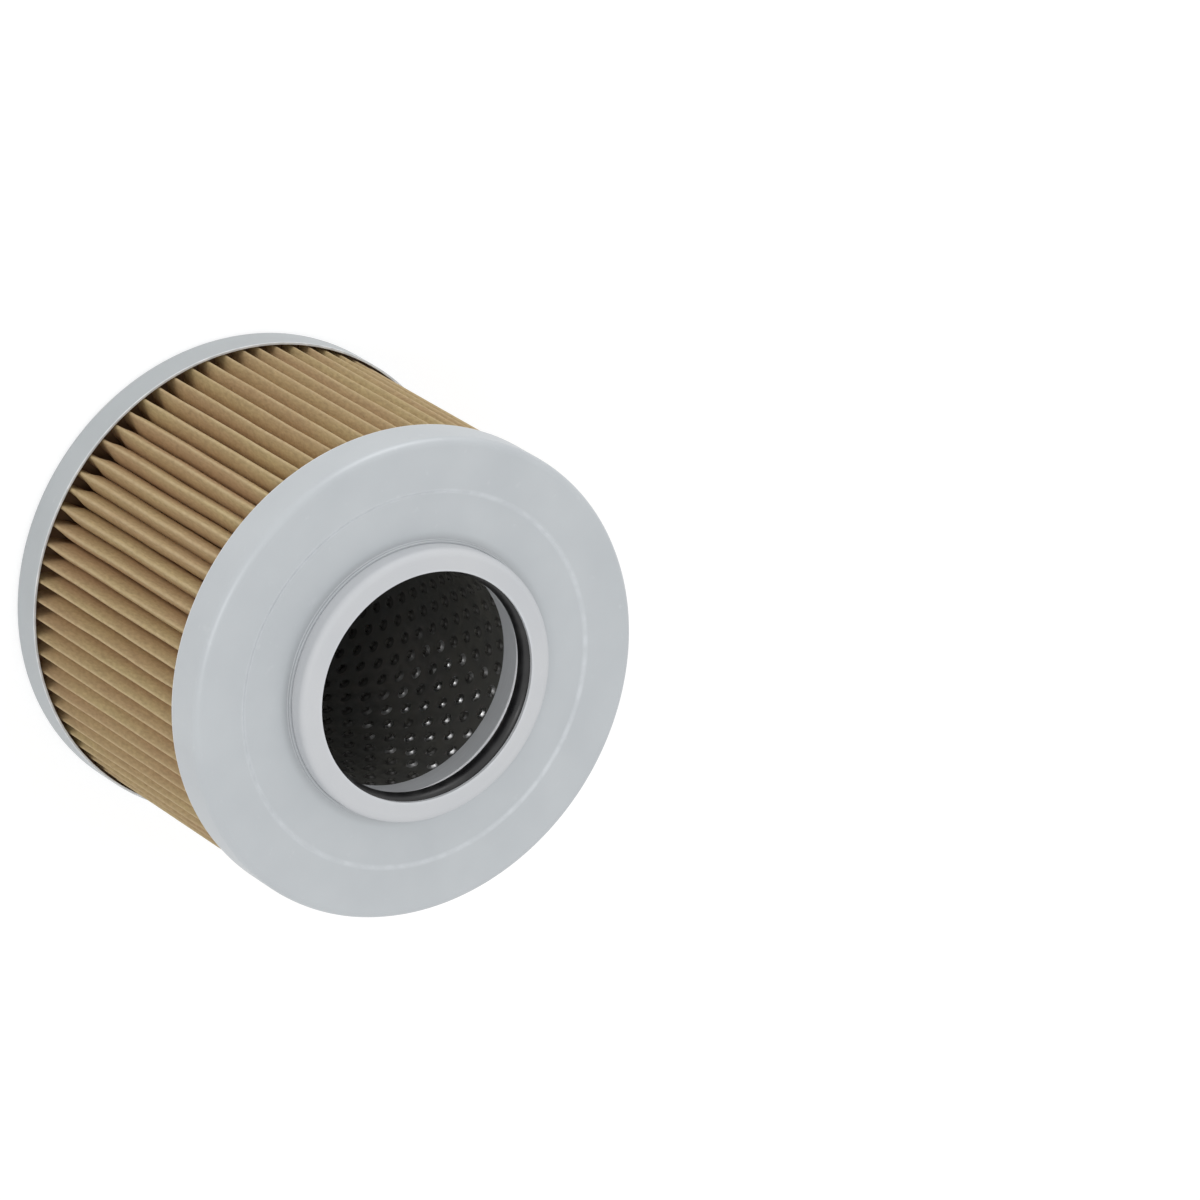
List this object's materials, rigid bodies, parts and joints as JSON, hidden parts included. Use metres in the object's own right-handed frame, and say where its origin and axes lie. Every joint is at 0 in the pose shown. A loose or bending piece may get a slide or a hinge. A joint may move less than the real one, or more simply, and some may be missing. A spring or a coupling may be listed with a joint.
{
  "type": "hydraulic filter element",
  "caption": "Cylindrical hydraulic filter element: pleated paper round a perforated tube between two steel end caps, one with a short neck and seal, the other with a small copper eyelet.",
  "frame": {"origin": "middle of the closed end's face, which the element stands on", "axes": "+Z along the element's axis, from the closed end to the open end with the neck"},
  "size_m": [0.15, 0.15, 0.118],
  "materials": {
    "cap_steel": "bright zinc plated, satin",
    "seal_rubber": "satin black",
    "tube_steel": "dark coated sheet",
    "filter_paper": "resin treated filter paper, matt",
    "glue": "dark set glue",
    "copper": "bright copper"
  },
  "bodies": {
    "root": {"open_end_cap": "cap_steel", "neck_collar": "cap_steel", "neck_seal": "seal_rubber", "seal_sleeve": "cap_steel", "centre_tube": "tube_steel", "pleated_paper": "filter_paper", "seam_glue": "glue", "open_end_glue": "glue", "closed_end_glue": "glue", "closed_end_cap": "cap_steel", "copper_eyelet": "copper"}
  },
  "joints": []
}
